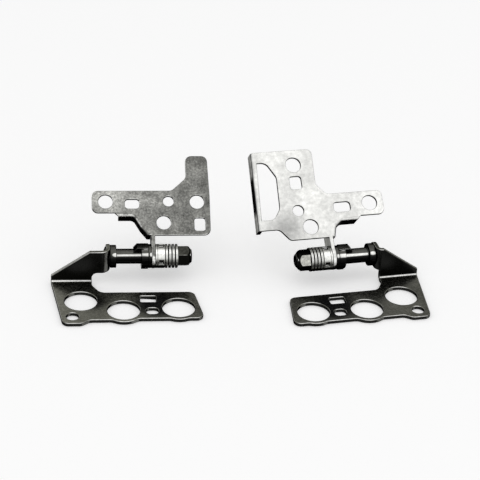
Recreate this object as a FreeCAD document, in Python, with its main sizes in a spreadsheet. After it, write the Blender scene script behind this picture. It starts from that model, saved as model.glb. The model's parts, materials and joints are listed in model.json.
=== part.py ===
import FreeCAD, Part
import math
import os
import Sketcher
from FreeCAD import Placement, Rotation, Vector

# Pair of friction hinges for a thin folding computer, mirrored left and right.
# Frame: the underside of both base plates is Z = 0, the origin is the middle screw hole
# of the left base plate, X runs along the left pivot shaft and Y runs to the back.
# In each hinge "out" is the side of the upright wall: -X on the left, +X on the right.

DIMENSIONS = {
    # where the right hinge stands
    "right_hinge_x": 58.7,
    "right_hinge_y": -0.5,
    "right_hinge_turn": 8.2,
    # base plate, measured outwards and backwards from its middle screw hole
    "sheet": 1.0,
    "screw_hole_radius": 3.93,
    "rim_width": 1.0,
    "outer_hole_out": 10.05,
    "outer_hole_back": 3.98,
    "far_hole_in": 13.2,
    "far_hole_back": 0.8,
    "locator_radius": 1.5,
    "locator_out": 12.18,
    "locator_front": 2.45,
    "upper_slot_in": 6.1,
    "upper_slot_back": 4.61,
    "upper_slot_long": 3.8,
    "upper_slot_wide": 2.6,
    "lower_slot_in": 6.83,
    "lower_slot_front": 0.46,
    "lower_slot_long": 2.9,
    "lower_slot_wide": 2.6,
    "back_edge": 7.6,
    "neck_out": 5.2,
    "end_back_in": 17.4,
    "end_front_in": 19.2,
    "front_edge": 3.6,
    "outer_front_out": 14.6,
    "outer_front_edge": 5.4,
    "waist_front": 4.0,
    "waist_out": 8.2,
    "waist_slope": 1.9,
    "front_blend": 2.0,
    "plate_corner": 1.7,
    "neck_rise": 3.2,
    "neck_round": 2.2,
    # upright wall and the ear that carries the shaft
    "wall_front": 12.6,
    "wall_outer_out": 17.0,
    "wall_inner_out": 7.1,
    "wall_low": 1.5,
    "wall_peak_out": 7.7,
    "wall_bend": 1.5,
    "left_wall_neck": 1.3,
    "right_wall_neck": 0.5,
    "ear_radius": 3.0,
    "left_ear_out": 2.7,
    "right_ear_out": 5.85,
    "left_ear_bend": 2.2,
    "right_ear_bend": 1.6,
    "shaft_back": 3.0,
    "shaft_height": 5.15,
    # pivot shaft and what is threaded on it, measured along it from the ear
    "shaft_radius": 1.85,
    "shaft_flats": 2.9,
    "collar_radius": 2.8,
    "collar_long": 1.5,
    "rivet_radius": 2.4,
    "rivet_high": 0.5,
    "bare_long": 5.6,
    "running_gap": 0.05,
    "stop_thick": 1.7,
    "stop_radius": 2.9,
    "stop_foot": 3.0,
    "stop_foot_wide": 2.4,
    "lug_long": 2.0,
    "lug_slope": 0.9,
    "lug_wide": 2.4,
    "lug_high": 3.0,
    "wear_thick": 0.8,
    "washer_radius": 2.95,
    "friction_thick": 0.5,
    "cam_thick": 1.8,
    "cam_slot_wide": 1.2,
    "cam_slot_deep": 0.6,
    "cam_slot_long": 1.1,
    "spring_radius": 2.95,
    "spring_thick": 0.26,
    "spring_pitch": 0.412,
    "nut_flats": 4.6,
    "nut_long": 2.9,
    "nut_crown": 0.8,
    "left_nut_turn": -6.5,
    "right_nut_turn": 30.0,
    "tip_long": 0.45,
    "tip_round": 0.35,
    # screen brackets, measured in the plane of their plate from the shaft axis
    "screen_out": 0.45,
    "screen_lean": 40.0,
    "screen_sheet": 0.9,
    "face_ahead": 2.5,
    "flange_bend": 0.85,
    "flange_round": 1.4,
    "ear_depth": 2.6,
    "plate_low": 4.6,
    "screen_corner": 1.5,
    "fold_drop": 1.0,
    "inner_corner": 1.8,
    # left screen bracket
    "left_arm_tip": 6.5,
    "left_arm_low": 10.4,
    "left_arm_high": 16.05,
    "left_arm_end": 13.1,
    "left_mast_left": 16.7,
    "left_mast_foot": 19.3,
    "left_mast_right": 22.1,
    "left_mast_top": 25.1,
    "left_side": 22.45,
    "left_side_high": 15.0,
    "left_fold_start": 1.0,
    "left_fold_x": 3.7,
    "left_fold_side": 5.3,
    "left_fold_side_high": 6.6,
    "left_fold_foot": 6.9,
    "left_screw_radius": 1.78,
    "left_arm_screw_x": 3.15,
    "left_arm_screw_high": 13.27,
    "left_arm_slot_x": 3.33,
    "left_arm_slot_high": 12.65,
    "left_arm_slot_long": 3.55,
    "left_arm_slot_wide": 2.4,
    "left_pin_radius": 1.32,
    "left_pin_x": 12.25,
    "left_pin_high": 13.3,
    "left_side_screw_x": 19.27,
    "left_side_screw_high": 13.13,
    "left_low_screw_x": 10.98,
    "left_low_screw_high": 7.83,
    "left_side_slot_x": 19.84,
    "left_side_slot_high": 7.33,
    "left_side_slot_long": 3.35,
    "left_side_slot_wide": 2.7,
    # right screen bracket
    "right_arm_tip": 9.7,
    "right_arm_low": 9.55,
    "right_arm_high": 15.8,
    "right_arm_end": 4.5,
    "right_shoulder_x": 6.8,
    "right_shoulder_high": 18.5,
    "right_top_x": 6.4,
    "right_top": 27.9,
    "right_far_top": 21.0,
    "right_far_low": 22.0,
    "right_foot_low": 7.6,
    "right_foot_x": 17.8,
    "right_toe_x": 15.4,
    "right_bar_depth": 3.2,
    "right_bar_wide": 1.1,
    "right_bar_bend": 0.95,
    "right_fold_start": 3.45,
    "right_fold_x": 1.6,
    "right_fold_side": 3.2,
    "right_fold_side_high": 7.2,
    "right_fold_foot": 3.9,
    "right_screw_radius": 1.93,
    "right_top_screw_x": 11.7,
    "right_top_screw_high": 24.0,
    "right_top_slot_x": 11.8,
    "right_top_slot_high": 19.3,
    "right_top_slot_long": 3.4,
    "right_top_slot_wide": 3.0,
    "right_pin_radius": 1.42,
    "right_pin_x": 12.3,
    "right_pin_high": 12.05,
    "right_low_screw_x": 9.8,
    "right_low_screw_high": 7.65,
    "right_arm_slot_x": 1.05,
    "right_arm_slot_high": 12.15,
    "right_arm_slot_long": 4.3,
    "right_arm_slot_wide": 2.6,
    "right_arm_screw_x": 6.15,
    "right_arm_screw_high": 12.65,
    "right_window_lip": 0.1,
    "right_window_near": 16.45,
    "right_window_low": 10.2,
    "right_window_high": 25.1,
    "right_window_shoulder": 4.0,
    "right_window_lean": 0.4,
    "right_window_round": 2.0,
}


class Size:
    """A length together with the spreadsheet formula that gives it."""

    def __init__(self, number, formula):
        self.number = number
        self.formula = formula

    def __add__(self, other):
        return Size(self.number + other.number, f"({self.formula} + {other.formula})")

    def __sub__(self, other):
        return Size(self.number - other.number, f"({self.formula} - {other.formula})")

    def __mul__(self, factor):
        return Size(self.number * factor, f"({self.formula} * {factor})")

    def __neg__(self):
        return Size(-self.number, f"(-{self.formula})")


def dim(name):
    return Size(DIMENSIONS[name], f"Sizes.{name}")


ZERO = Size(0.0, "0")


def total(names):
    length = ZERO
    for name in names:
        length = length + dim(name)
    return length


doc = FreeCAD.newDocument("laptop_hinges")
sheet = doc.addObject("Spreadsheet::Sheet", "Sizes")
for row, (alias, number) in enumerate(DIMENSIONS.items(), start=1):
    sheet.set(f"A{row}", alias)
    sheet.set(f"B{row}", str(number))
    sheet.setAlias(f"B{row}", alias)
doc.recompute()

parts = []


def new_body(label):
    body = doc.addObject("PartDesign::Body", label)
    body.Label = label
    parts.append(body)
    return body


def new_sketch(body, name, plane="XY_Plane", offset=ZERO):
    sketch = body.newObject("Sketcher::SketchObject", name)
    support = [item for item in body.Origin.OriginFeatures if item.Role == plane][0]
    sketch.AttachmentSupport = [(support, "")]
    sketch.MapMode = "FlatFace"
    sketch.AttachmentOffset = Placement(Vector(0, 0, offset.number), Rotation())
    sketch.setExpression("AttachmentOffset.Base.z", offset.formula)
    return sketch


def bind(sketch, kind, references, size):
    index = sketch.addConstraint(Sketcher.Constraint(kind, *references, size.number))
    sketch.setExpression(f"Constraints[{index}]", size.formula)


def pin_point(sketch, geometry, end, x, y):
    bind(sketch, "DistanceX", (-1, 1, geometry, end), x)
    bind(sketch, "DistanceY", (-1, 1, geometry, end), y)


def draw_outline(sketch, corners):
    """A closed run of straight edges through the corners."""
    points = [Vector(x.number, y.number, 0) for x, y in corners]
    lines = []
    for start, end in zip(points, points[1:] + points[:1]):
        lines.append(sketch.addGeometry(Part.LineSegment(start, end), False))
    for line, following in zip(lines, lines[1:] + lines[:1]):
        sketch.addConstraint(Sketcher.Constraint("Coincident", line, 2, following, 1))
    for line, (x, y) in zip(lines, corners):
        pin_point(sketch, line, 1, x, y)


def draw_circle(sketch, x, y, radius):
    circle = Part.Circle(Vector(x.number, y.number, 0), Vector(0, 0, 1), radius.number)
    index = sketch.addGeometry(circle, False)
    pin_point(sketch, index, 3, x, y)
    bind(sketch, "Radius", (index,), radius)


def draw_slot(sketch, x, y, length, width, corner):
    """A rectangle with rounded corners, centred on a point, length along the sketch's X."""
    half_long = length * 0.5
    half_wide = width * 0.5
    inner_long = half_long - corner
    inner_wide = half_wide - corner
    centres = [(x + inner_long, y + inner_wide), (x - inner_long, y + inner_wide),
               (x - inner_long, y - inner_wide), (x + inner_long, y - inner_wide)]
    arcs = []
    for quarter, (centre_x, centre_y) in enumerate(centres):
        circle = Part.Circle(Vector(centre_x.number, centre_y.number, 0), Vector(0, 0, 1), corner.number)
        start = quarter * math.pi / 2
        arc = sketch.addGeometry(Part.ArcOfCircle(circle, start, start + math.pi / 2), False)
        pin_point(sketch, arc, 3, centre_x, centre_y)
        bind(sketch, "Radius", (arc,), corner)
        arcs.append(arc)
    ends = [((centres[0][0], y + half_wide), (centres[1][0], y + half_wide)),
            ((x - half_long, centres[1][1]), (x - half_long, centres[2][1])),
            ((centres[2][0], y - half_wide), (centres[3][0], y - half_wide)),
            ((x + half_long, centres[3][1]), (x + half_long, centres[0][1]))]
    for side, (start, end) in enumerate(ends):
        segment = Part.LineSegment(Vector(start[0].number, start[1].number, 0),
                                   Vector(end[0].number, end[1].number, 0))
        line = sketch.addGeometry(segment, False)
        sketch.addConstraint(Sketcher.Constraint("Tangent", arcs[side], 2, line, 1))
        sketch.addConstraint(Sketcher.Constraint("Tangent", line, 2, arcs[(side + 1) % 4], 1))


def draw_keyed_bore(sketch, radius, flats):
    """A round bore with two flats, above and below its centre."""
    half = flats * 0.5
    reach = math.sqrt(radius.number ** 2 - half.number ** 2)
    angle = math.atan2(half.number, reach)
    circle = Part.Circle(Vector(0, 0, 0), Vector(0, 0, 1), radius.number)
    right = sketch.addGeometry(Part.ArcOfCircle(circle, -angle, angle), False)
    left = sketch.addGeometry(Part.ArcOfCircle(circle, math.pi - angle, math.pi + angle), False)
    top = sketch.addGeometry(Part.LineSegment(Vector(reach, half.number, 0),
                                              Vector(-reach, half.number, 0)), False)
    foot = sketch.addGeometry(Part.LineSegment(Vector(-reach, -half.number, 0),
                                               Vector(reach, -half.number, 0)), False)
    for arc in (right, left):
        sketch.addConstraint(Sketcher.Constraint("Coincident", arc, 3, -1, 1))
        bind(sketch, "Radius", (arc,), radius)
    joins = [(right, 2, top, 1), (top, 2, left, 1), (left, 2, foot, 1), (foot, 2, right, 1)]
    for join in joins:
        sketch.addConstraint(Sketcher.Constraint("Coincident", *join))
    for line in (top, foot):
        sketch.addConstraint(Sketcher.Constraint("Horizontal", line))
    bind(sketch, "DistanceY", (-1, 1, top, 1), half)
    bind(sketch, "DistanceY", (-1, 1, foot, 1), -half)


def pad(body, sketch, length, name, reverse=False):
    feature = body.newObject("PartDesign::Pad", name)
    feature.Profile = sketch
    feature.Length = length.number
    feature.setExpression("Length", length.formula)
    feature.Reversed = reverse
    return feature


def pad_both_ways(body, sketch, length, name):
    feature = pad(body, sketch, length, name)
    feature.Midplane = True
    return feature


def cut_through(body, sketch, name):
    feature = body.newObject("PartDesign::Pocket", name)
    feature.Profile = sketch
    feature.Type = "ThroughAll"
    feature.Midplane = True
    return feature


def cut_down(body, sketch, depth, name, reverse=False):
    feature = body.newObject("PartDesign::Pocket", name)
    feature.Profile = sketch
    feature.Length = depth.number
    feature.setExpression("Length", depth.formula)
    feature.Reversed = reverse
    return feature


def turn(body, sketch, name, groove=False):
    """A revolved feature about the sketch's own X axis."""
    kind = "PartDesign::Groove" if groove else "PartDesign::Revolution"
    feature = body.newObject(kind, name)
    feature.Profile = sketch
    feature.ReferenceAxis = (sketch, ["H_Axis"])
    feature.Angle = 360.0
    return feature


def chord(radius, distance):
    """Half the chord that a line at a distance from a circle's centre cuts off it."""
    half = math.sqrt(radius.number ** 2 - distance.number ** 2)
    return Size(half, f"sqrt({radius.formula}^2 - {distance.formula}^2)")


def upright_edges(shape, places):
    """Names of the straight edges along Z that pass through the given places."""
    names = []
    for number, edge in enumerate(shape.Edges, start=1):
        if edge.Curve.TypeId != "Part::GeomLine":
            continue
        run = edge.lastVertex().Point - edge.firstVertex().Point
        if abs(run.x) + abs(run.y) > 1e-6:
            continue
        foot = edge.firstVertex().Point
        for x, y in places:
            if abs(foot.x - x.number) < 1e-4 and abs(foot.y - y.number) < 1e-4:
                names.append(f"Edge{number}")
    return names


def edges_through(shape, points):
    """Names of the edges that pass through the given points."""
    names = []
    for number, edge in enumerate(shape.Edges, start=1):
        for point in points:
            if edge.distToShape(Part.Vertex(point))[0] < 1e-4:
                names.append(f"Edge{number}")
                break
    return names


def round_edges(body, radius, names, label):
    doc.recompute()
    base = body.Tip
    fillet = body.newObject("PartDesign::Fillet", label)
    fillet.Base = (base, names)
    fillet.Radius = radius.number
    fillet.setExpression("Radius", radius.formula)
    return fillet


def base_bracket(name, side, ear_out, ear_bend, wall_neck):
    """Pressed base plate with its upright wall and the ear that carries the shaft."""
    body = new_body(name)
    sheet_thick = dim("sheet")
    wall_front = dim("wall_front")
    wall_back = wall_front + sheet_thick
    rim = dim("screw_hole_radius") + dim("rim_width")
    shaft_z = sheet_thick + dim("shaft_height")
    ear_top = shaft_z + dim("ear_radius")
    ear_low = shaft_z - dim("ear_radius")
    far_x = dim("far_hole_in") * -side

    outline = new_sketch(body, name + "_plate_outline")
    neck = (dim("neck_out") * side, dim("back_edge"))
    wall_root = (dim("wall_inner_out") * side, dim("back_edge") + dim("neck_rise"))
    waist = (dim("waist_out") * side, -dim("waist_front"))
    waist_end = ((dim("waist_out") + dim("waist_slope")) * side, -dim("outer_front_edge"))
    draw_outline(outline, [
        (ZERO, -dim("waist_front")),
        waist,
        waist_end,
        (dim("outer_front_out") * side, -dim("outer_front_edge")),
        (dim("wall_outer_out") * side, wall_front),
        (dim("wall_outer_out") * side, wall_back),
        (dim("wall_inner_out") * side, wall_back),
        wall_root,
        neck,
        (dim("end_back_in") * -side, dim("back_edge")),
        (dim("end_front_in") * -side, -dim("front_edge")),
        (ZERO, -dim("front_edge")),
    ])
    pad(body, outline, sheet_thick, name + "_plate")

    rims = new_sketch(body, name + "_rim_circles")
    draw_circle(rims, ZERO, ZERO, rim)
    draw_circle(rims, far_x, dim("far_hole_back"), rim)
    pad(body, rims, sheet_thick, name + "_rims")

    wall = new_sketch(body, name + "_wall_outline", "XZ_Plane", -wall_front)
    draw_outline(wall, [
        (dim("wall_outer_out") * side, ZERO),
        (dim("wall_outer_out") * side, sheet_thick + dim("wall_low")),
        (dim("wall_peak_out") * side, ear_top),
        (ear_out * side, ear_top),
        (ear_out * side, ear_low),
        (dim("wall_inner_out") * side, ear_low),
        (dim("wall_inner_out") * side, ZERO),
    ])
    pad(body, wall, sheet_thick, name + "_wall", reverse=True)

    ear_start = ear_out if side > 0 else -(ear_out + sheet_thick)
    ear = new_sketch(body, name + "_ear_outline", "YZ_Plane", ear_start)
    shaft_y = wall_front + dim("shaft_back")
    draw_outline(ear, [(wall_front, ear_low), (shaft_y, ear_low), (shaft_y, ear_top), (wall_front, ear_top)])
    pad(body, ear, sheet_thick, name + "_ear")
    ear_end = new_sketch(body, name + "_ear_circle", "YZ_Plane", ear_start)
    draw_circle(ear_end, shaft_y, shaft_z, dim("ear_radius"))
    pad(body, ear_end, sheet_thick, name + "_ear_end")

    doc.recompute()
    inner_bend = ear_bend - sheet_thick
    outer_line = (ear_out * side, wall_front)
    inner_line = ((ear_out + sheet_thick) * side, wall_back)
    round_edges(body, ear_bend, upright_edges(body.Shape, [outer_line]), name + "_ear_bend")
    doc.recompute()
    round_edges(body, inner_bend, upright_edges(body.Shape, [inner_line]), name + "_ear_inner_bend")
    doc.recompute()
    middle = (DIMENSIONS["wall_outer_out"] + DIMENSIONS["wall_inner_out"]) / 2 * side
    back_line = Vector(middle, wall_back.number, 0)
    round_edges(body, dim("wall_bend"), edges_through(body.Shape, [back_line]), name + "_wall_bend")
    doc.recompute()
    front_line = Vector(middle, wall_front.number, sheet_thick.number)
    inner_wall_bend = dim("wall_bend") - sheet_thick
    round_edges(body, inner_wall_bend, edges_through(body.Shape, [front_line]), name + "_wall_inner_bend")
    doc.recompute()
    neck_low = Vector(dim("wall_inner_out").number * side, wall_front.number + sheet_thick.number / 2, ear_low.number)
    round_edges(body, wall_neck, edges_through(body.Shape, [neck_low]), name + "_wall_neck")
    doc.recompute()
    corners = [(dim("outer_front_out") * side, -dim("outer_front_edge")),
               (dim("end_back_in") * -side, dim("back_edge")),
               (dim("end_front_in") * -side, -dim("front_edge"))]
    round_edges(body, dim("plate_corner"), upright_edges(body.Shape, corners), name + "_corners")
    doc.recompute()
    round_edges(body, dim("neck_round"), upright_edges(body.Shape, [neck, wall_root]), name + "_neck")
    doc.recompute()
    far_back = far_x, dim("far_hole_back") + dim("front_edge")
    blends = [waist, waist_end,
              (chord(rim, dim("waist_front")) * side, -dim("waist_front")),
              (chord(rim, dim("front_edge")) * -side, -dim("front_edge"))]
    for reach in (chord(rim, far_back[1]), -chord(rim, far_back[1])):
        blends.append((far_back[0] + reach, -dim("front_edge")))
    round_edges(body, dim("front_blend"), upright_edges(body.Shape, blends), name + "_front_blends")

    holes = new_sketch(body, name + "_holes")
    hole = dim("screw_hole_radius")
    draw_circle(holes, ZERO, ZERO, hole)
    draw_circle(holes, dim("outer_hole_out") * side, dim("outer_hole_back"), hole)
    draw_circle(holes, far_x, dim("far_hole_back"), hole)
    draw_circle(holes, dim("locator_out") * side, -dim("locator_front"), dim("locator_radius"))
    draw_slot(holes, dim("upper_slot_in") * -side, dim("upper_slot_back"), dim("upper_slot_long"),
              dim("upper_slot_wide"), dim("upper_slot_wide") * 0.15)
    draw_slot(holes, dim("lower_slot_in") * -side, -dim("lower_slot_front"), dim("lower_slot_long"),
              dim("lower_slot_wide"), dim("lower_slot_wide") * 0.4)
    cut_through(body, holes, name + "_screw_holes")
    bore = new_sketch(body, name + "_shaft_bore_circle", "YZ_Plane")
    draw_circle(bore, shaft_y, shaft_z, dim("shaft_radius"))
    cut_through(body, bore, name + "_shaft_bore")
    return body


# Along the shaft, from the ear towards the nut.
STOP_AT = total(["bare_long", "lug_long"])
WEAR_AT = STOP_AT + dim("stop_thick")
SCREEN_AT = WEAR_AT + dim("wear_thick")
FRICTION_AT = SCREEN_AT + dim("screen_sheet")
CAM_AT = FRICTION_AT + dim("friction_thick")
SPRINGS_AT = CAM_AT + dim("cam_thick")
SPRING_COUNT = 8
NUT_AT = SPRINGS_AT + dim("spring_pitch") * SPRING_COUNT
SHAFT_END = NUT_AT + dim("nut_long") + dim("tip_long")


def pivot_shaft(name):
    """Turned shaft: rivet head, journal in the ear, collar, and a stem with two flats."""
    body = new_body(name)
    profile = new_sketch(body, name + "_profile")
    collar_end = dim("collar_long")
    head = -dim("sheet") - dim("rivet_high")
    draw_outline(profile, [
        (head, ZERO),
        (head, dim("rivet_radius") * 0.7),
        (head + dim("rivet_high") * 0.6, dim("rivet_radius")),
        (-dim("sheet"), dim("rivet_radius")),
        (-dim("sheet"), dim("shaft_radius")),
        (ZERO, dim("shaft_radius")),
        (ZERO, dim("collar_radius")),
        (collar_end, dim("collar_radius")),
        (collar_end, dim("shaft_radius")),
        (SHAFT_END - dim("tip_round"), dim("shaft_radius")),
        (SHAFT_END, dim("shaft_radius") - dim("tip_round")),
        (SHAFT_END, ZERO),
    ])
    turn(body, profile, name + "_turned")
    half_flats = dim("shaft_flats") * 0.5
    for side, label in ((1, "upper"), (-1, "lower")):
        flat = new_sketch(body, f"{name}_{label}_flat_outline", "XZ_Plane")
        draw_outline(flat, [
            (STOP_AT, half_flats * side),
            (SHAFT_END + dim("tip_long"), half_flats * side),
            (SHAFT_END + dim("tip_long"), dim("shaft_radius") * (2 * side)),
            (STOP_AT, dim("shaft_radius") * (2 * side)),
        ])
        cut_through(body, flat, f"{name}_{label}_flat")
    return body


def keyed_ring(body, name, radius, start, thickness):
    """A flat washer whose bore has the shaft's two flats."""
    ring = new_sketch(body, name + "_ring_outline", "YZ_Plane", start)
    draw_circle(ring, ZERO, ZERO, radius)
    draw_keyed_bore(ring, dim("shaft_radius") + dim("running_gap"), dim("shaft_flats") + dim("running_gap") * 2)
    return pad(body, ring, thickness, name + "_ring")


def stop_plate(name):
    """Keyed plate with a square foot below and a sloping lug on its shaft side."""
    body = new_body(name)
    foot = new_sketch(body, name + "_foot_outline", "YZ_Plane", STOP_AT)
    half = dim("stop_foot_wide") * 0.5
    draw_outline(foot, [(-half, -dim("stop_foot")), (half, -dim("stop_foot")), (half, ZERO), (-half, ZERO)])
    pad(body, foot, dim("stop_thick"), name + "_foot")
    disc = new_sketch(body, name + "_disc_outline", "YZ_Plane", STOP_AT)
    draw_circle(disc, ZERO, ZERO, dim("stop_radius"))
    pad(body, disc, dim("stop_thick"), name + "_disc")
    lug = new_sketch(body, name + "_lug_outline", "XZ_Plane")
    lug_root = dim("shaft_radius") + dim("running_gap")
    draw_outline(lug, [
        (STOP_AT - dim("lug_long"), lug_root),
        (STOP_AT - dim("lug_long") + dim("lug_slope"), dim("lug_high")),
        (STOP_AT + dim("stop_thick"), dim("lug_high")),
        (STOP_AT + dim("stop_thick"), lug_root),
    ])
    pad_both_ways(body, lug, dim("lug_wide"), name + "_lug")
    bore = new_sketch(body, name + "_bore_outline", "YZ_Plane", STOP_AT)
    draw_keyed_bore(bore, dim("shaft_radius") + dim("running_gap"), dim("shaft_flats") + dim("running_gap") * 2)
    cut_through(body, bore, name + "_bore")
    return body


def plain_washer(name, start, thickness):
    body = new_body(name)
    keyed_ring(body, name, dim("washer_radius"), start, thickness)
    return body


def cam_washer(name):
    """Thick washer with four open slots round its rim."""
    body = new_body(name)
    keyed_ring(body, name, dim("washer_radius"), CAM_AT, dim("cam_thick"))
    slot_start = CAM_AT + (dim("cam_thick") - dim("cam_slot_long")) * 0.5
    half = dim("cam_slot_wide") * 0.5
    inner = dim("washer_radius") - dim("cam_slot_deep")
    outer = dim("washer_radius") * 1.2
    quarters = {
        "top": [(-half, inner), (half, inner), (half, outer), (-half, outer)],
        "foot": [(-half, -outer), (half, -outer), (half, -inner), (-half, -inner)],
        "back": [(inner, -half), (outer, -half), (outer, half), (inner, half)],
        "front": [(-outer, -half), (-inner, -half), (-inner, half), (-outer, half)],
    }
    for label, corners in quarters.items():
        slot = new_sketch(body, f"{name}_{label}_slot_outline", "YZ_Plane", slot_start)
        draw_outline(slot, corners)
        cut_down(body, slot, dim("cam_slot_long"), f"{name}_{label}_slot", reverse=True)
    return body


def disc_spring(name, position):
    """Coned spring washer; neighbours face opposite ways and meet rim to rim."""
    body = new_body(name)
    start = SPRINGS_AT + dim("spring_pitch") * position
    end = start + dim("spring_pitch")
    bore = dim("shaft_radius") + dim("running_gap") * 2
    rise = dim("spring_pitch") - dim("spring_thick")
    profile = new_sketch(body, name + "_profile")
    if position % 2 == 0:
        corners = [(start, bore), (start + rise, dim("spring_radius")), (end, dim("spring_radius")),
                   (start + dim("spring_thick"), bore)]
    else:
        corners = [(end, bore), (start + dim("spring_thick"), dim("spring_radius")),
                   (start, dim("spring_radius")), (end - dim("spring_thick"), bore)]
    draw_outline(profile, corners)
    turn(body, profile, name + "_cone")
    return body


def lock_nut(name):
    """Hexagon nut with a rounded outer end."""
    body = new_body(name)
    flats = dim("nut_flats")
    corner = flats * (0.5 / math.cos(math.radians(30)))
    outline = new_sketch(body, name + "_hexagon", "YZ_Plane", NUT_AT)
    corners = []
    for step in range(6):
        angle = math.radians(60 * step + 30)
        corners.append((corner * math.cos(angle), corner * math.sin(angle)))
    draw_outline(outline, corners)
    draw_circle(outline, ZERO, ZERO, dim("shaft_radius") + dim("running_gap"))
    pad(body, outline, dim("nut_long"), name + "_body")
    end = NUT_AT + dim("nut_long")
    crown_radius = flats * 0.42
    beyond = corner * 1.3
    crown = new_sketch(body, name + "_crown_outline")
    draw_outline(crown, [
        (end - dim("nut_crown"), corner),
        (end - dim("nut_crown") * 0.35, flats * 0.5),
        (end, crown_radius),
        (end + dim("nut_crown"), crown_radius),
        (end + dim("nut_crown"), beyond),
        (end - dim("nut_crown"), beyond),
    ])
    turn(body, crown, name + "_crown", groove=True)
    return body


def screen_bracket(name, side, outline, fold_line, ear_x):
    """Plate in the sketch plane, a flange bent back along its foot and an ear round the shaft.

    The body's X runs along the shaft, its Y up the plate and its Z out of the plate's face.
    """
    body = new_body(name)
    thick = dim("screen_sheet")
    face = dim("face_ahead")
    plate_back = face - thick
    plate = new_sketch(body, name + "_plate_outline", "XY_Plane", plate_back)
    draw_outline(plate, outline)
    pad(body, plate, thick, name + "_plate")

    fold = new_sketch(body, name + "_fold_outline", "XY_Plane", -dim("ear_depth") * 0.5)
    start, knee, side_top, side_foot = fold_line
    inward = thick * side
    draw_outline(fold, [
        start, knee, side_top, side_foot,
        (side_foot[0] - inward, side_foot[1]),
        (side_top[0] - inward, side_top[1] + thick * 0.5),
        (knee[0] - inward * 0.5, knee[1] + thick),
        (start[0], start[1] + thick),
    ])
    pad(body, fold, face + dim("ear_depth") * 0.5, name + "_fold")
    doc.recompute()
    bends = upright_edges(body.Shape, [knee, side_top])
    round_edges(body, dim("flange_round"), bends, name + "_fold_turns")
    doc.recompute()
    middle = Vector((start[0].number + knee[0].number) / 2, start[1].number, face.number)
    round_edges(body, dim("flange_bend"), edges_through(body.Shape, [middle]), name + "_flange_bend")

    ear_start = ear_x if side < 0 else ear_x - thick
    ear = new_sketch(body, name + "_ear_outline", "YZ_Plane", ear_start)
    ear_top = side_top[1]
    draw_outline(ear, [(ZERO, -dim("ear_depth")), (ear_top, -dim("ear_depth")), (ear_top, face), (ZERO, face)])
    pad(body, ear, thick, name + "_ear")
    knuckle = new_sketch(body, name + "_ear_circle", "YZ_Plane", ear_start)
    draw_circle(knuckle, ZERO, ZERO, dim("ear_radius"))
    pad(body, knuckle, thick, name + "_knuckle")
    bore = new_sketch(body, name + "_bore_circle", "YZ_Plane")
    draw_circle(bore, ZERO, ZERO, dim("shaft_radius") + dim("running_gap"))
    cut_through(body, bore, name + "_shaft_bore")
    return body


def left_screen_bracket():
    name = "left_screen_bracket"
    ear_x = SCREEN_AT - dim("left_ear_out") + dim("screen_out")
    arm_low = dim("left_arm_low")
    fold_level = arm_low - dim("fold_drop")
    fold_line = [
        (dim("fold_drop") - dim("left_fold_start"), fold_level),
        (dim("left_fold_x"), fold_level),
        (dim("left_fold_side"), dim("left_fold_side_high")),
        (dim("left_fold_foot"), dim("plate_low")),
    ]
    tip_low = (-dim("left_arm_tip"), arm_low)
    side_low = (dim("left_side"), dim("plate_low"))
    mast_tops = [(dim("left_mast_right"), dim("left_mast_top")), (dim("left_mast_left"), dim("left_mast_top"))]
    mast_foot = (dim("left_mast_left"), dim("left_mast_foot"))
    arm_end = (dim("left_arm_end"), dim("left_arm_high"))
    tip_high = (-dim("left_arm_tip"), dim("left_arm_high"))
    outline = [tip_low, (-dim("left_fold_start"), arm_low), *fold_line, side_low,
               (dim("left_side"), dim("left_side_high")), *mast_tops, mast_foot, arm_end, tip_high]
    body = screen_bracket(name, -1, outline, fold_line, ear_x)
    doc.recompute()
    corners = [tip_low, side_low, *mast_tops, tip_high]
    round_edges(body, dim("screen_corner"), upright_edges(body.Shape, corners), name + "_corners")
    doc.recompute()
    inner = upright_edges(body.Shape, [mast_foot, arm_end])
    round_edges(body, dim("inner_corner"), inner, name + "_inner_corners")
    holes = new_sketch(body, name + "_hole_outlines")
    screw = dim("left_screw_radius")
    draw_circle(holes, -dim("left_arm_screw_x"), dim("left_arm_screw_high"), screw)
    draw_circle(holes, dim("left_pin_x"), dim("left_pin_high"), dim("left_pin_radius"))
    draw_circle(holes, dim("left_side_screw_x"), dim("left_side_screw_high"), screw)
    draw_circle(holes, dim("left_low_screw_x"), dim("left_low_screw_high"), screw)
    draw_slot(holes, dim("left_arm_slot_x"), dim("left_arm_slot_high"), dim("left_arm_slot_long"),
              dim("left_arm_slot_wide"), dim("left_arm_slot_wide") * 0.35)
    draw_slot(holes, dim("left_side_slot_x"), dim("left_side_slot_high"), dim("left_side_slot_wide"),
              dim("left_side_slot_long"), dim("left_side_slot_wide") * 0.25)
    cut_through(body, holes, name + "_holes")
    return body


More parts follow.
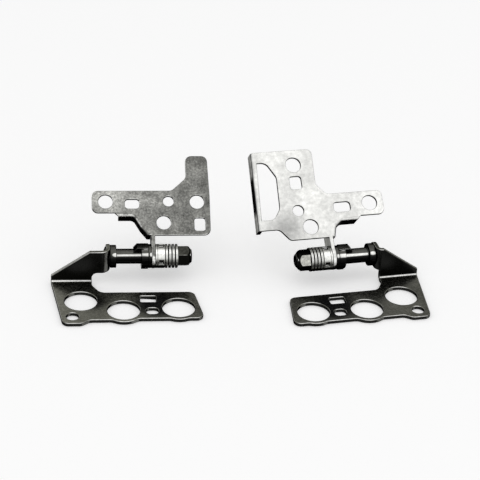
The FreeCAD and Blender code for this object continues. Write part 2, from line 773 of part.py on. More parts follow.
def right_screen_bracket():
    name = "right_screen_bracket"
    ear_x = dim("right_ear_out") - SCREEN_AT - dim("screen_out")
    arm_low = dim("right_arm_low")
    fold_level = arm_low - dim("fold_drop")
    fold_line = [
        (dim("right_fold_start") - dim("fold_drop"), fold_level),
        (-dim("right_fold_x"), fold_level),
        (-dim("right_fold_side"), dim("right_fold_side_high")),
        (-dim("right_fold_foot"), dim("plate_low")),
    ]
    tip_low = (dim("right_arm_tip"), arm_low)
    toe = (-dim("right_toe_x"), dim("plate_low"))
    foot = (-dim("right_foot_x"), dim("right_foot_low"))
    far_low = (-dim("right_far_low"), dim("right_foot_low"))
    far_top = (-dim("right_far_top"), dim("right_top"))
    near_top = (-dim("right_top_x"), dim("right_top"))
    shoulder = (-dim("right_shoulder_x"), dim("right_shoulder_high"))
    arm_end = (-dim("right_arm_end"), dim("right_arm_high"))
    tip_high = (dim("right_arm_tip"), dim("right_arm_high"))
    outline = [tip_low, (dim("right_fold_start"), arm_low), *fold_line, toe, foot, far_low, far_top,
               near_top, shoulder, arm_end, tip_high]
    body = screen_bracket(name, 1, outline, fold_line, ear_x)
    thick = dim("screen_sheet")
    bar = new_sketch(body, name + "_bar_outline", "XY_Plane", dim("face_ahead") - dim("right_bar_depth"))
    bar_foot = (far_low[0] - dim("right_bar_wide"), far_low[1])
    bar_top = (far_top[0] - dim("right_bar_wide"), far_top[1])
    draw_outline(bar, [bar_foot, far_low, far_top, bar_top])
    pad(body, bar, dim("right_bar_depth"), name + "_bar")
    doc.recompute()
    corners = [tip_low, toe, near_top, tip_high]
    round_edges(body, dim("screen_corner"), upright_edges(body.Shape, corners), name + "_corners")
    doc.recompute()
    inner = upright_edges(body.Shape, [foot, shoulder, arm_end])
    round_edges(body, dim("inner_corner"), inner, name + "_inner_corners")
    doc.recompute()
    bar_middle = Vector((bar_foot[0].number + bar_top[0].number) / 2,
                        (bar_foot[1].number + bar_top[1].number) / 2, DIMENSIONS["face_ahead"])
    round_edges(body, dim("right_bar_bend"), edges_through(body.Shape, [bar_middle]), name + "_bar_bend")
    holes = new_sketch(body, name + "_hole_outlines", "XY_Plane", dim("face_ahead") - dim("screen_sheet") * 2)
    screw = dim("right_screw_radius")
    draw_circle(holes, -dim("right_top_screw_x"), dim("right_top_screw_high"), screw)
    draw_circle(holes, -dim("right_pin_x"), dim("right_pin_high"), dim("right_pin_radius"))
    draw_circle(holes, -dim("right_low_screw_x"), dim("right_low_screw_high"), screw)
    draw_circle(holes, dim("right_arm_screw_x"), dim("right_arm_screw_high"), screw)
    draw_slot(holes, -dim("right_arm_slot_x"), dim("right_arm_slot_high"), dim("right_arm_slot_long"),
              dim("right_arm_slot_wide"), dim("right_arm_slot_wide") * 0.35)
    draw_slot(holes, -dim("right_top_slot_x"), dim("right_top_slot_high"), dim("right_top_slot_wide"),
              dim("right_top_slot_long"), dim("right_top_slot_wide") * 0.25)
    cut_through(body, holes, name + "_holes")

    window = new_sketch(body, name + "_window_outline", "XY_Plane", dim("face_ahead") - thick * 2)
    near = -dim("right_window_near")
    slope = dim("right_window_shoulder")
    lip = dim("right_window_lip")
    high_corner = (near - slope * 0.55, dim("right_window_high"))
    low_corner = (near - slope * 0.55, dim("right_window_low"))
    high_bend = (near, dim("right_window_high") - slope)
    low_bend = (near - dim("right_window_lean"), dim("right_window_low") + slope * 0.7)
    draw_outline(window, [(far_low[0] + lip, low_corner[1]), low_corner, low_bend, high_bend, high_corner,
                          (far_top[0] + lip, high_corner[1])])
    cut_through(body, window, name + "_window")
    doc.recompute()
    rounds = upright_edges(body.Shape, [low_corner, low_bend, high_bend, high_corner])
    round_edges(body, dim("right_window_round"), rounds, name + "_window_rounds")
    return body


def place(body, hinge, local):
    body.Placement = hinge.multiply(local)


def build_hinge(prefix, side, hinge, screen):
    """One hinge: its base bracket, the loaded shaft and the bracket that turns on it."""
    shaft_y = dim("wall_front") + dim("shaft_back")
    shaft_z = dim("sheet") + dim("shaft_height")
    ear_out = dim(prefix + "_ear_out")
    base = base_bracket(prefix + "_base_bracket", side, ear_out, dim(prefix + "_ear_bend"), dim(prefix + "_wall_neck"))
    place(base, hinge, Placement())
    along = 180 if side > 0 else 0
    shaft_seat = Placement(Vector(ear_out.number * side, shaft_y.number, shaft_z.number),
                           Rotation(Vector(0, 0, 1), along))
    loaded = [
        pivot_shaft(prefix + "_pivot_shaft"),
        stop_plate(prefix + "_stop_plate"),
        plain_washer(prefix + "_wear_washer", WEAR_AT, dim("wear_thick")),
        plain_washer(prefix + "_friction_washer", FRICTION_AT, dim("friction_thick")),
        cam_washer(prefix + "_cam_washer"),
    ]
    for position in range(SPRING_COUNT):
        loaded.append(disc_spring(f"{prefix}_disc_spring_{position + 1}", position))
    for body in loaded:
        place(body, hinge, shaft_seat)
    nut_turn = Rotation(Vector(1, 0, 0), DIMENSIONS[prefix + "_nut_turn"])
    place(lock_nut(prefix + "_lock_nut"), hinge, shaft_seat.multiply(Placement(Vector(0, 0, 0), nut_turn)))
    lean = Rotation(Vector(1, 0, 0), DIMENSIONS["screen_lean"])
    screen_x = dim("screen_out") * side
    place(screen(), hinge, Placement(Vector(screen_x.number, shaft_y.number, shaft_z.number), lean))


LEFT = Placement()
RIGHT = Placement(Vector(DIMENSIONS["right_hinge_x"], DIMENSIONS["right_hinge_y"], 0),
                  Rotation(Vector(0, 0, 1), DIMENSIONS["right_hinge_turn"]))
build_hinge("left", -1, LEFT, left_screen_bracket)
build_hinge("right", 1, RIGHT, right_screen_bracket)
doc.recompute()

failures = [item.Label for item in doc.Objects if "Invalid" in item.State or "Error" in item.State]
for body in parts:
    if body.Shape.isNull() or not body.Shape.isValid() or len(body.Shape.Solids) != 1:
        failures.append(f"{body.Label} shape")
if failures:
    raise RuntimeError("failed: " + ", ".join(failures))

os.makedirs("parts", exist_ok=True)
for body in parts:
    body.Shape.exportStep(f"parts/{body.Label}.step")
    box = body.Shape.BoundBox
    print(f"{body.Label}: {body.Shape.Volume:.2f} mm3, x {box.XMin:.2f} {box.XMax:.2f}, "
          f"y {box.YMin:.2f} {box.YMax:.2f}, z {box.ZMin:.2f} {box.ZMax:.2f}")
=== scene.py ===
import json
import math

import bpy
from mathutils import Matrix, Vector


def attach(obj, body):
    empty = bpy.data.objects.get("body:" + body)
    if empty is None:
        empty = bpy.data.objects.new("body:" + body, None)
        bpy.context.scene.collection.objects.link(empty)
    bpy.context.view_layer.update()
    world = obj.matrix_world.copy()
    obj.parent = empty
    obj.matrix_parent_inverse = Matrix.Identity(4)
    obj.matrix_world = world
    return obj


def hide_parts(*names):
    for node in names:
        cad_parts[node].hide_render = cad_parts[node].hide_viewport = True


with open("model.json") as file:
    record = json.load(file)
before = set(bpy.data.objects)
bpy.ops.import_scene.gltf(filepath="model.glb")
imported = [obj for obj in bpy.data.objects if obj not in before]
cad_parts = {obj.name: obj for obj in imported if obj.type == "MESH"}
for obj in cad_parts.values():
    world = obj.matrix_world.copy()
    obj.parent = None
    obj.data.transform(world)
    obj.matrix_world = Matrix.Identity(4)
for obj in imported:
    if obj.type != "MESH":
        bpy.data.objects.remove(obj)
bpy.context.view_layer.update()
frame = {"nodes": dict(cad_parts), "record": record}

mm = 0.001
scene = bpy.context.scene
scene.view_settings.view_transform = "Standard"


def selectOnly(*objects):
    bpy.ops.object.select_all(action="DESELECT")
    for item in objects:
        item.select_set(True)
    bpy.context.view_layer.objects.active = objects[0]


# camera at the photo's angle: a long lens, a little turned and rolled
cameraSet = {
    "target": (29.15 * mm, 17.1 * mm, 9.67 * mm),
    "lens": 140.0,
    "sensor": 36.0,
    "nearest": 10.0 * mm,
    "fieldWidth": 117.6 * mm,
    "elevation": 31.9,
    "turn": 8.0,
    "roll": 3.9,
}


def addCamera(values):
    bpy.ops.object.camera_add()
    camera = bpy.context.object
    camera.name = "photoCamera"
    camera.data.lens = values["lens"]
    camera.data.sensor_width = values["sensor"]
    distance = values["fieldWidth"] * values["lens"] / values["sensor"]
    elevation = math.radians(values["elevation"])
    turn = math.radians(values["turn"])
    away = Vector((math.sin(turn) * math.cos(elevation), math.cos(turn) * math.cos(elevation),
                   -math.sin(elevation)))
    camera.location = Vector(values["target"]) - away * distance
    aim = away.to_track_quat("-Z", "Y").to_matrix().to_4x4()
    roll = Matrix.Rotation(math.radians(values["roll"]), 4, "Z")
    camera.rotation_euler = (aim @ roll).to_euler()
    camera.data.clip_start = values["nearest"]
    scene.camera = camera


addCamera(cameraSet)
print("camera set")


# shared effects, as node groups
def newGroup(name, inputs, outputs):
    group = bpy.data.node_groups.new(name, "ShaderNodeTree")
    for socketName, kind, value in inputs:
        socket = group.interface.new_socket(socketName, in_out="INPUT", socket_type=kind)
        if value is not None:
            socket.default_value = value
    for socketName, kind in outputs:
        group.interface.new_socket(socketName, in_out="OUTPUT", socket_type=kind)
    start = group.nodes.new("NodeGroupInput")
    end = group.nodes.new("NodeGroupOutput")
    return group, start, end


def addMath(tree, operation, first, second):
    node = tree.nodes.new("ShaderNodeMath")
    node.operation = operation
    for index, value in enumerate((first, second)):
        if isinstance(value, (int, float)):
            node.inputs[index].default_value = value
        else:
            tree.links.new(value, node.inputs[index])
    return node.outputs[0]


def addNoise(tree, coordinates, scale, detail, roughness):
    node = tree.nodes.new("ShaderNodeTexNoise")
    node.inputs["Detail"].default_value = detail
    node.inputs["Roughness"].default_value = roughness
    tree.links.new(coordinates, node.inputs["Vector"])
    tree.links.new(scale, node.inputs["Scale"])
    return node.outputs["Fac"]


def addRange(tree, value, fromLow, fromHigh, toLow, toHigh):
    node = tree.nodes.new("ShaderNodeMapRange")
    tree.links.new(value, node.inputs["Value"])
    ends = {"From Min": fromLow, "From Max": fromHigh, "To Min": toLow, "To Max": toHigh}
    for socketName, number in ends.items():
        node.inputs[socketName].default_value = number
    return node.outputs["Result"]


def mixColours(tree, factor, first, second):
    node = tree.nodes.new("ShaderNodeMix")
    node.data_type = "RGBA"
    colourInputs = [socket for socket in node.inputs if socket.type == "RGBA"]
    factorInput = [socket for socket in node.inputs if socket.type == "VALUE"][0]
    tree.links.new(factor, factorInput)
    for socket, value in zip(colourInputs, (first, second)):
        if isinstance(value, tuple):
            socket.default_value = value
        else:
            tree.links.new(value, socket)
    return [socket for socket in node.outputs if socket.type == "RGBA"][0]


# spangle and stain of plated sheet: fine grains over larger clouds
mottleSet = {
    "middle": 0.5,
    "grainShare": 0.6,
    "cloudShare": 0.4,
    "spread": 4.0,
    "growth": 2.7,
    "grainDetail": 4.0,
    "grainRoughness": 0.65,
    "cloudDetail": 3.0,
    "cloudRoughness": 0.5,
}


def buildMottleGroup(values):
    group, start, end = newGroup("platingMottle", [
        ("Vector", "NodeSocketVector", None),
        ("Grain Scale", "NodeSocketFloat", 1500.0),
        ("Cloud Scale", "NodeSocketFloat", 220.0),
        ("Amount", "NodeSocketFloat", 0.3),
    ], [("Tone", "NodeSocketFloat"), ("Grain", "NodeSocketFloat")])
    coordinates = start.outputs["Vector"]
    grain = addNoise(group, coordinates, start.outputs["Grain Scale"],
                     values["grainDetail"], values["grainRoughness"])
    cloud = addNoise(group, coordinates, start.outputs["Cloud Scale"],
                     values["cloudDetail"], values["cloudRoughness"])
    grainPart = addMath(group, "MULTIPLY", grain, values["grainShare"])
    cloudPart = addMath(group, "MULTIPLY", cloud, values["cloudShare"])
    centred = addMath(group, "SUBTRACT", addMath(group, "ADD", grainPart, cloudPart), values["middle"])
    spread = addMath(group, "MULTIPLY", centred, values["spread"])
    strong = addMath(group, "MULTIPLY", spread, start.outputs["Amount"])
    tone = addMath(group, "POWER", values["growth"], strong)  # always above zero, round 1
    group.links.new(tone, end.inputs["Tone"])
    group.links.new(grain, end.inputs["Grain"])
    return group


# mask of the faces that turn away from one direction of the piece: the Mask places painted shade, the Facing
# Mask places painted highlights and the painted patches
def buildSteepGroup():
    group, start, end = newGroup("steepFaces", [
        ("Normal", "NodeSocketVector", None),
        ("Facing", "NodeSocketVector", (0.0, 0.0, 1.0)),
        ("From", "NodeSocketFloat", 0.1),
        ("To", "NodeSocketFloat", 0.7),
    ], [("Mask", "NodeSocketFloat"), ("Facing Mask", "NodeSocketFloat")])
    dot = group.nodes.new("ShaderNodeVectorMath")
    dot.operation = "DOT_PRODUCT"
    group.links.new(start.outputs["Normal"], dot.inputs[0])
    group.links.new(start.outputs["Facing"], dot.inputs[1])
    spread = group.nodes.new("ShaderNodeMapRange")
    spread.interpolation_type = "SMOOTHSTEP"
    group.links.new(dot.outputs["Value"], spread.inputs["Value"])
    group.links.new(start.outputs["From"], spread.inputs["From Min"])
    group.links.new(start.outputs["To"], spread.inputs["From Max"])
    spread.inputs["To Min"].default_value = 1.0
    spread.inputs["To Max"].default_value = 0.0
    group.links.new(spread.outputs["Result"], end.inputs["Mask"])
    group.links.new(addMath(group, "SUBTRACT", 1.0, spread.outputs["Result"]), end.inputs["Facing Mask"])
    return group


# mask that is full round one place and fades outwards
def buildPatchGroup():
    group, start, end = newGroup("patchRoundPlace", [
        ("Vector", "NodeSocketVector", None),
        ("Centre", "NodeSocketVector", (0.0, 0.0, 0.0)),
        ("Inner", "NodeSocketFloat", 0.002),
        ("Outer", "NodeSocketFloat", 0.008),
    ], [("Mask", "NodeSocketFloat")])
    distance = group.nodes.new("ShaderNodeVectorMath")
    distance.operation = "DISTANCE"
    group.links.new(start.outputs["Vector"], distance.inputs[0])
    group.links.new(start.outputs["Centre"], distance.inputs[1])
    fade = group.nodes.new("ShaderNodeMapRange")
    fade.interpolation_type = "SMOOTHSTEP"
    group.links.new(distance.outputs["Value"], fade.inputs["Value"])
    group.links.new(start.outputs["Inner"], fade.inputs["From Min"])
    group.links.new(start.outputs["Outer"], fade.inputs["From Max"])
    fade.inputs["To Min"].default_value = 1.0
    fade.inputs["To Max"].default_value = 0.0
    group.links.new(fade.outputs["Result"], end.inputs["Mask"])
    return group


mottleGroup = buildMottleGroup(mottleSet)
steepGroup = buildSteepGroup()
patchGroup = buildPatchGroup()


def useGroup(tree, group, links, settings):
    node = tree.nodes.new("ShaderNodeGroup")
    node.node_tree = group
    for socketName, output in links.items():
        tree.links.new(output, node.inputs[socketName])
    for socketName, value in settings.items():
        node.inputs[socketName].default_value = value
    return node


def scaleColour(tree, colour, factor):
    node = tree.nodes.new("ShaderNodeVectorMath")
    node.operation = "SCALE"
    node.inputs[0].default_value = colour
    tree.links.new(factor, node.inputs["Scale"])
    return node.outputs["Vector"]


# how far a face may turn from a painted patch's direction, and the grain's depth and range, for every metal
metalSet = {
    "patchFrom": 0.9,
    "patchTo": 0.97,
    "grainLow": 0.3,
    "grainHigh": 0.7,
    "grainDepth": 0.02 * mm,
    "edgeTint": 0.1,
}


# plated sheet or turned steel: mottled colour, painted shade on steep faces, painted highlights (glints)
# where an edge faces the light,
# and painted patches: painted reflections where a face mirrors something dark or pale, and painted shade in
# the cam washers' slots
def platedMetal(name, values):
    material = bpy.data.materials.new(name)
    material.use_nodes = True
    tree = material.node_tree
    shader = tree.nodes["Principled BSDF"]
    place = tree.nodes.new("ShaderNodeTexCoord")
    mottle = useGroup(tree, mottleGroup, {"Vector": place.outputs["Object"]}, {
        "Grain Scale": values["grainScale"], "Cloud Scale": values["cloudScale"], "Amount": values["mottle"]})
    tone = mottle.outputs["Tone"]
    colour = scaleColour(tree, values["colour"], tone)
    # painted shade: faces turned steeply away from the facing direction are mixed to a dark colour
    steep = useGroup(tree, steepGroup, {"Normal": place.outputs["Normal"]}, {
        "Facing": values["facing"], "From": values["steepFrom"], "To": values["steepTo"]})
    colour = mixColours(tree, steep.outputs["Mask"], colour, values["steepColour"] + (1.0,))
    # painted highlights: faces turned to each glint's direction are mixed to a bright colour; entries facing
    # backwards give back faces a plain colour in place of the painted shade
    for facing, low, high, bright in values["glints"]:
        glint = useGroup(tree, steepGroup, {"Normal": place.outputs["Normal"]}, {
            "Facing": facing, "From": low, "To": high})
        colour = mixColours(tree, glint.outputs["Facing Mask"], colour, scaleColour(tree, bright, tone))
    # painted patches: round given places, faces turned to the patch's direction take a painted reflection,
    # and in the cam washers' slots a painted shade
    for centre, inner, outer, facing, paintedTone in values["patches"]:
        patch = useGroup(tree, patchGroup, {"Vector": place.outputs["Object"]}, {
            "Centre": centre, "Inner": inner, "Outer": outer})
        level = useGroup(tree, steepGroup, {"Normal": place.outputs["Normal"]}, {
            "Facing": facing, "From": metalSet["patchFrom"], "To": metalSet["patchTo"]})
        share = addMath(tree, "MULTIPLY", patch.outputs["Mask"], level.outputs["Facing Mask"])
        colour = mixColours(tree, share, colour, scaleColour(tree, paintedTone, tone))
    tree.links.new(colour, shader.inputs["Base Color"])
    rough = addRange(tree, mottle.outputs["Grain"], metalSet["grainLow"], metalSet["grainHigh"],
                     values["roughLow"], values["roughHigh"])
    tree.links.new(rough, shader.inputs["Roughness"])
    shader.inputs["Metallic"].default_value = 1.0
    shader.inputs["Specular Tint"].default_value = (metalSet["edgeTint"],) * 3 + (1.0,)
    bump = tree.nodes.new("ShaderNodeBump")
    bump.inputs["Strength"].default_value = values["bump"]
    bump.inputs["Distance"].default_value = metalSet["grainDepth"]
    tree.links.new(mottle.outputs["Grain"], bump.inputs["Height"])
    tree.links.new(bump.outputs["Normal"], shader.inputs["Normal"])
    return material


lean = math.radians(40.0)  # of both screen plates
plateFacing = (0.0, -math.sin(lean), math.cos(lean))
plateBack = (0.0, math.sin(lean), -math.cos(lean))
plateUp = (0.0, 0.0, 1.0)
plateFront = (0.0, -1.0, 0.0)
foldSide = (-0.99, -0.14, 0.0)  # left side of the right hinge, which stands turned

# painted glint: (direction, from, to, colour), a painted highlight, where backward entries keep back faces at
# a plain colour; painted patch: (place, full within, gone beyond, direction, colour), a painted reflection,
# in the cam washers' slots a painted shade
# black nickel base: painted shade makes the walls nearly black, painted highlights run along the bends, the
# wall slopes and the ear bend, the patches are painted dark reflections on the top face, and the last two
# glints give the wall's back and the underside a plain colour
baseColourAndPaintedLight = {
    "colour": (0.16, 0.16, 0.137),
    "patches": [((56.0 * mm, 4.0 * mm, 0.0), 25.0 * mm, 27.0 * mm, plateUp, (0.1, 0.1, 0.088)),
                ((18.0 * mm, 1.0 * mm, 0.0), 5.0 * mm, 10.0 * mm, plateUp, (0.105, 0.105, 0.092)),
                ((8.5 * mm, 2.0 * mm, 0.0), 3.0 * mm, 9.0 * mm, plateUp, (0.022, 0.022, 0.022)),
                ((-6.8 * mm, 3.5 * mm, 0.0), 1.5 * mm, 4.5 * mm, plateUp, (0.035, 0.035, 0.032)),
                ((50.5 * mm, 0.5 * mm, 0.0), 3.0 * mm, 9.0 * mm, plateUp, (0.022, 0.022, 0.022))],
    "steepColour": (0.017, 0.017, 0.016),
    "facing": (0.0, 0.0, 1.0),
    "steepFrom": 0.25,
    "steepTo": 0.9,
    "glints": [((0.0, -0.72, 0.69), 0.87, 0.97, (0.6, 0.6, 0.58)),
               ((-0.5, 0.0, 0.866), 0.97, 0.99, (0.4, 0.4, 0.38)),
               ((0.5, 0.0, 0.866), 0.97, 0.99, (0.4, 0.4, 0.38)),
               ((0.55, -0.835, 0.0), 0.96, 0.99, (0.14, 0.14, 0.13)),
               ((0.0, 1.0, 0.0), 0.6, 0.9, (0.14, 0.14, 0.12)),
               ((0.0, 0.0, -1.0), 0.6, 0.9, (0.14, 0.14, 0.12))],
    "grainScale": 1700.0,
    "cloudScale": 130.0,
    "mottle": 0.6,
    "roughLow": 0.2,
    "roughHigh": 0.34,
    "bump": 0.35,
}
# dark shaft steel: painted shade darkens the faces turned down and a painted highlight runs along the shaft,
# aimed to suit the turned right hinge; the last glint gives back faces a plain colour
shaftColourAndPaintedLight = {
    "colour": (0.07, 0.07, 0.064),
    "steepColour": (0.006, 0.006, 0.006),
    "facing": (0.0, -0.2, 0.98),
    "steepFrom": 0.45,
    "steepTo": 0.95,
    "glints": [((0.111, -0.772, 0.626), 0.98, 0.998, (0.88, 0.88, 0.85)),
               ((0.0, 0.95, 0.3), 0.5, 0.9, (0.09, 0.09, 0.085))],
    "patches": [],
    "grainScale": 1800.0,
    "cloudScale": 300.0,
    "mottle": 0.4,
    "roughLow": 0.16,
    "roughHigh": 0.3,
    "bump": 0.15,
}
# floors of the cam washers' slots, in mm, which the spring steel's patches darken with painted shade
shadedCamSlots = [(9.7, 13.25, 6.15), (9.7, 15.6, 8.5), (50.33, 11.68, 6.15), (49.99, 14.01, 8.5)]
# bright spring steel: painted highlights on faces turned front and up, painted shade on steep faces and in
# the cam washers' slots; the last glint gives back faces a plain colour
springColourAndPaintedLight = {
    "colour": (0.3, 0.3, 0.28),
    "steepColour": (0.012, 0.012, 0.011),
    "facing": (0.0, -0.6, 0.8),
    "steepFrom": 0.2,
    "steepTo": 0.8,
    "glints": [((0.0, -0.75, 0.66), 0.85, 0.98, (0.9, 0.9, 0.87)),
               ((0.0, 0.95, 0.3), 0.5, 0.9, (0.5, 0.5, 0.48))],
    "patches": [((x * mm, y * mm, z * mm), 0.75 * mm, 0.9 * mm, facing, (0.025, 0.025, 0.023))
                for x, y, z in shadedCamSlots for facing in (plateFront, plateUp)],
    "grainScale": 1800.0,
    "cloudScale": 300.0,
    "mottle": 0.4,
    "roughLow": 0.14,
    "roughHigh": 0.26,
    "bump": 0.12,
}
# black nut: painted shade darkens the facets turned away from front and up, a painted highlight brightens the
# facet turned to the front; the last glint gives back faces a plain colour
nutColourAndPaintedLight = {
    "colour": (0.042, 0.042, 0.036),
    "steepColour": (0.007, 0.007, 0.006),
    "facing": (0.0, -0.4, 0.917),
    "steepFrom": 0.9,
    "steepTo": 0.99,
    "glints": [((0.0, -0.866, 0.5), 0.94, 0.975, (0.5, 0.5, 0.46)),
               ((0.0, 0.95, 0.3), 0.8, 0.95, (0.12, 0.12, 0.11))],
    "patches": [],
    "grainScale": 1600.0,
    "cloudScale": 900.0,
    "mottle": 0.8,
    "roughLow": 0.24,
    "roughHigh": 0.38,
    "bump": 0.2,
}
# both screen plates are one nickel: the left plate's darker colour is painted shade; painted shade also
# darkens its steep folds, painted highlights run along the fold bend and the left-facing edges, the patch is
# a painted light reflection on the left arm, and the last glint gives the back a plain colour
leftPlatePaintedShadeAndLight = {
    "colour": (0.157, 0.157, 0.147),
    "steepColour": (0.01, 0.01, 0.01),
    "facing": plateFacing,
    "steepFrom": 0.3,
    "steepTo": 0.85,
    "glints": [((0.0, -0.98, 0.2), 0.9, 0.98, (0.8, 0.8, 0.77)),
               ((-0.707, -0.455, 0.542), 0.88, 0.97, (0.6, 0.6, 0.58)),
               (plateBack, 0.6, 0.9, (0.165, 0.165, 0.154))],
    "patches": [((-5.8 * mm, 24.1 * mm, 16.0 * mm), 1.5 * mm, 21.0 * mm, plateFacing, (0.3, 0.3, 0.283))],
    "grainScale": 2000.0,
    "cloudScale": 260.0,
    "mottle": 1.3,
    "roughLow": 0.26,
    "roughHigh": 0.44,
    "bump": 0.9,
}
# the right plate's lighter colour is painted light; painted shade darkens its steep hole walls and fold
# faces, a painted highlight runs along the fold bend, and the patches are painted reflections: the light ends
# of the folded bar, the light ear face, a darker place by the lower screw and a lighter arm; the last glint
# gives the back a plain colour
rightPlatePaintedLightAndShade = {
    "colour": (0.66, 0.66, 0.64),
    "steepColour": (0.012, 0.012, 0.012),
    "facing": plateFacing,
    "steepFrom": 0.5,
    "steepTo": 0.985,
    "glints": [((0.0, -0.98, 0.2), 0.9, 0.98, (0.85, 0.85, 0.83)),
               (plateBack, 0.6, 0.9, (0.6, 0.6, 0.58))],
    "patches": [((32.1 * mm, 31.2 * mm, 23.1 * mm), 3.0 * mm, 5.5 * mm, foldSide, (0.5, 0.5, 0.48)),
                ((33.2 * mm, 17.6 * mm, 11.7 * mm), 3.0 * mm, 5.5 * mm, foldSide, (0.5, 0.5, 0.48)),
                ((50.8 * mm, 17.5 * mm, 7.5 * mm), 5.0 * mm, 7.0 * mm, foldSide, (0.5, 0.5, 0.48)),
                ((40.1 * mm, 17.2 * mm, 12.6 * mm), 0.5 * mm, 7.0 * mm, plateFacing, (0.4, 0.4, 0.39)),
                ((61.8 * mm, 24.2 * mm, 15.9 * mm), 2.0 * mm, 9.0 * mm, plateFacing, (0.72, 0.72, 0.7))],
    "grainScale": 900.0,
    "cloudScale": 200.0,
    "mottle": 0.45,
    "roughLow": 0.28,
    "roughHigh": 0.42,
    "bump": 0.4,
}
materials = {
    "base_black_nickel": platedMetal("blackNickelBase", baseColourAndPaintedLight),
    "shaft_steel": platedMetal("darkShaftSteel", shaftColourAndPaintedLight),
    "spring_steel": platedMetal("brightSpringSteel", springColourAndPaintedLight),
    "nut_black": platedMetal("blackNut", nutColourAndPaintedLight),
    # the left and right plate materials are a painted-shade copy and a painted-light copy of one nickel
    "left_screen_nickel": platedMetal("leftPlateNickel", leftPlatePaintedShadeAndLight),
    "right_screen_nickel": platedMetal("rightPlateNickel", rightPlatePaintedLightAndShade),
}
print("materials built:", len(materials))


# every node is copied, its facets are merged and its edges are softened as on pressed or turned steel
edgeSet = {
    "base_bracket": {"width": 0.2 * mm, "merge": 0.08 * mm},
    "screen_bracket": {"width": 0.16 * mm, "merge": 0.05 * mm},
    "pivot_shaft": {"width": 0.12 * mm, "merge": 0.01 * mm},
    "stop_plate": {"width": 0.12 * mm, "merge": 0.01 * mm},
    "wear_washer": {"width": 0.1 * mm, "merge": 0.01 * mm},
    "friction_washer": {"width": 0.1 * mm, "merge": 0.01 * mm},
    "cam_washer": {"width": 0.1 * mm, "merge": 0.01 * mm},
    "disc_spring": {"width": 0.06 * mm, "merge": 0.01 * mm},
    "lock_nut": {"width": 0.05 * mm, "merge": 0.04 * mm},
}
softSet = {"flatWithin": 0.8, "sharpAbove": 55.0, "smoothWithin": 32.0, "segments": 3}  # degrees and steps
slotOfNode = {entry["node"]: entry["material_slot"] for entry in frame["record"]["subparts"]}
bodyOfNode = {}
for bodyName, nodeNames in frame["record"]["behaviour"]["bodies"].items():
    for nodeName in nodeNames:
        bodyOfNode[nodeName] = bodyName


def edgesOf(node):
    return [values for kind, values in edgeSet.items() if kind in node][0]


def camelName(node):
    words = node.split("_")
    return words[0] + "".join(word.capitalize() for word in words[1:])


# a copy of the node with its flat facets merged and its edges rounded
def softenNode(node):
    edges = edgesOf(node)
    source = frame["nodes"][node]
    selectOnly(source)
    bpy.ops.object.duplicate()
    piece = bpy.context.object
    piece.name = camelName(node)
    piece.data.name = piece.name
    bpy.ops.object.mode_set(mode="EDIT")
    bpy.ops.mesh.select_all(action="SELECT")
    bpy.ops.mesh.remove_doubles(threshold=edges["merge"])
    bpy.ops.mesh.dissolve_limited(angle_limit=math.radians(softSet["flatWithin"]))
    bpy.ops.mesh.customdata_custom_splitnormals_clear()
    bpy.ops.object.mode_set(mode="OBJECT")
    bevel = piece.modifiers.new("softEdges", "BEVEL")
    bevel.width = edges["width"]
    bevel.segments = softSet["segments"]
    bevel.limit_method = "ANGLE"
    bevel.angle_limit = math.radians(softSet["sharpAbove"])
    bevel.use_clamp_overlap = False
    bpy.ops.object.modifier_apply(modifier=bevel.name)
    bpy.ops.object.shade_smooth_by_angle(angle=math.radians(softSet["smoothWithin"]))
    flatten = piece.modifiers.new("flatFacesStayFlat", "WEIGHTED_NORMAL")
    flatten.keep_sharp = True
    bpy.ops.object.modifier_apply(modifier=flatten.name)
    piece.data.materials.clear()
    piece.data.materials.append(materials[slotOfNode[node]])
    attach(piece, bodyOfNode[node])
    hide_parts(node)
    return piece


pieces = {node: softenNode(node) for node in slotOfNode}
print("pieces softened:", len(pieces))


# plain pale floor, pale surroundings and soft studio light
stageSet = {
    "floorSize": 3.0,
    "floorPlace": (30.0 * mm, 0.0, -0.02 * mm),
    "floorColour": (0.93, 0.93, 0.93, 1.0),
    "floorGlow": 0.35,
    "surroundings": 0.55,
}
lampSet = {
    "overhead": {"place": (0.05, -0.12, 0.55), "size": 0.5, "power": 0.3},
    "leftSide": {"place": (-0.45, -0.15, 0.35), "size": 0.3, "power": 0.12},
    "rightSide": {"place": (0.5, 0.1, 0.4), "size": 0.3, "power": 0.12},
}


# one shader for camera, mirror and clear rays and another for the rest
def whiteWhenSeen(tree, seenOutput, otherOutput):
    path = tree.nodes.new("ShaderNodeLightPath")
    mirrored = addMath(tree, "MAXIMUM", path.outputs["Is Glossy Ray"], path.outputs["Is Transmission Ray"])
    seen = addMath(tree, "MAXIMUM", path.outputs["Is Camera Ray"], mirrored)
    mix = tree.nodes.new("ShaderNodeMixShader")
    tree.links.new(seen, mix.inputs[0])
    tree.links.new(otherOutput, mix.inputs[1])
    tree.links.new(seenOutput, mix.inputs[2])
    return mix.outputs[0]


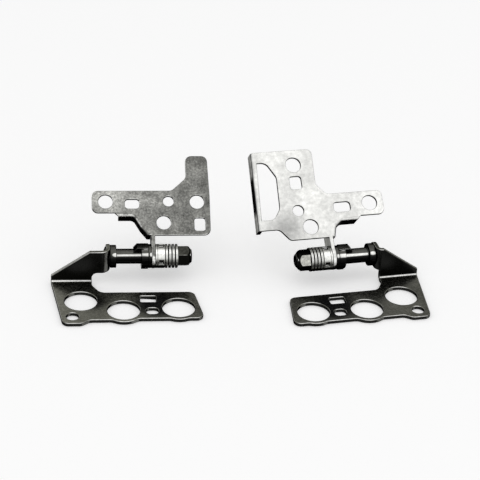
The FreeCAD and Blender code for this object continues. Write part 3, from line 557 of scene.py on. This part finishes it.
def buildSurroundings(values):
    world = bpy.data.worlds.new("paleSurroundings")
    scene.world = world
    world.use_nodes = True
    tree = world.node_tree
    tree.nodes.clear()
    seen = tree.nodes.new("ShaderNodeBackground")
    seen.inputs["Color"].default_value = (1.0, 1.0, 1.0, 1.0)
    seen.inputs["Strength"].default_value = 1.0
    other = tree.nodes.new("ShaderNodeBackground")
    other.inputs["Color"].default_value = (1.0, 1.0, 1.0, 1.0)
    other.inputs["Strength"].default_value = values["surroundings"]
    output = tree.nodes.new("ShaderNodeOutputWorld")
    tree.links.new(whiteWhenSeen(tree, seen.outputs[0], other.outputs[0]), output.inputs["Surface"])


def buildFloor(values):
    bpy.ops.object.select_all(action="DESELECT")
    bpy.ops.mesh.primitive_plane_add(size=values["floorSize"], location=values["floorPlace"])
    floor = bpy.context.object
    floor.name = "paleFloor"
    material = bpy.data.materials.new("paleFloor")
    material.use_nodes = True
    tree = material.node_tree
    tree.nodes.clear()
    flat = tree.nodes.new("ShaderNodeBsdfDiffuse")
    flat.inputs["Color"].default_value = values["floorColour"]
    glow = tree.nodes.new("ShaderNodeEmission")
    glow.inputs["Color"].default_value = (1.0, 1.0, 1.0, 1.0)
    glow.inputs["Strength"].default_value = values["floorGlow"]
    both = tree.nodes.new("ShaderNodeAddShader")
    tree.links.new(flat.outputs[0], both.inputs[0])
    tree.links.new(glow.outputs[0], both.inputs[1])
    output = tree.nodes.new("ShaderNodeOutputMaterial")
    tree.links.new(whiteWhenSeen(tree, both.outputs[0], flat.outputs[0]), output.inputs["Surface"])
    floor.data.materials.append(material)


def addLamps(lamps):
    aim = Vector(cameraSet["target"])
    for name, values in lamps.items():
        bpy.ops.object.light_add(type="AREA", location=values["place"])
        lamp = bpy.context.object
        lamp.name = name
        lamp.data.energy = values["power"]
        lamp.data.size = values["size"]
        lamp.rotation_euler = (aim - lamp.location).to_track_quat("-Z", "Y").to_euler()


buildSurroundings(stageSet)
buildFloor(stageSet)
addLamps(lampSet)
print("stage and lamps set")
